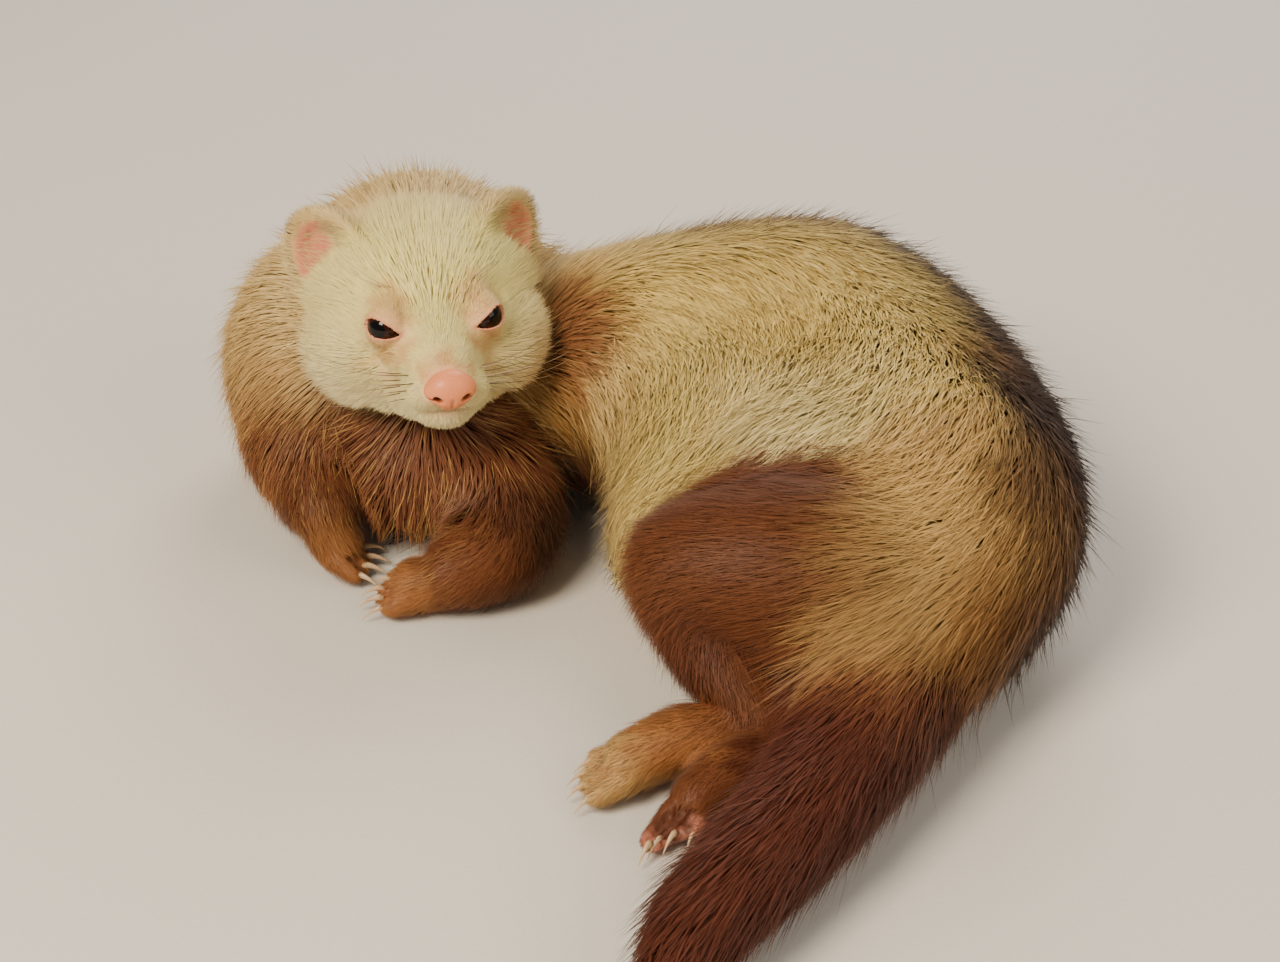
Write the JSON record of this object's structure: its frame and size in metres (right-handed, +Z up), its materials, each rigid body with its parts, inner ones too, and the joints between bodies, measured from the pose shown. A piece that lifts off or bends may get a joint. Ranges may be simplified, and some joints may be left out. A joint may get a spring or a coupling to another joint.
{
  "type": "ferret",
  "caption": "Life-size ferret lying curled round with its head raised, one hind leg on top and the bushy tail laid forward, as a still museum model.",
  "frame": {"origin": "middle of the floor area under the animal, on the plane it lies on", "axes": "+Z up; the head faces -Y and the tail's tip reaches furthest along -Y; +X towards the outside of the curled back"},
  "size_m": [0.2426, 0.3108, 0.0992],
  "materials": {
    "coat_face": "short soft cream-white fur",
    "coat_cream": "long soft cream fur with thin dark guard hairs",
    "coat_ruff": "tan fur with golden tips",
    "coat_brown": "reddish-brown fur",
    "coat_dark": "dark reddish-brown fur",
    "ear_skin": "thin pink skin with downy hair",
    "eye": "wet dark brown-black",
    "nose": "moist salmon-pink pad",
    "claw": "smooth pale horn",
    "whisker": "single thin hairs"
  },
  "bodies": {
    "root": {"eye_left": "eye", "eye_right": "eye", "nose": "nose", "head": "coat_face", "lower_jaw": "coat_face", "ear_left": "ear_skin", "ear_right": "ear_skin", "neck": "coat_cream", "chest": "coat_ruff", "foreleg_left": "coat_brown", "foreleg_right": "coat_brown", "forepaw_left": "coat_brown", "forepaw_right": "coat_brown", "ribs": "coat_cream", "loin": "coat_cream", "rump": "coat_brown", "hindleg_left": "coat_brown", "hindleg_right": "coat_brown", "hindfoot_left": "coat_brown", "hindfoot_right": "coat_brown", "tail_root": "coat_dark", "tail_middle": "coat_dark", "tail_tip": "coat_dark"}
  },
  "joints": []
}
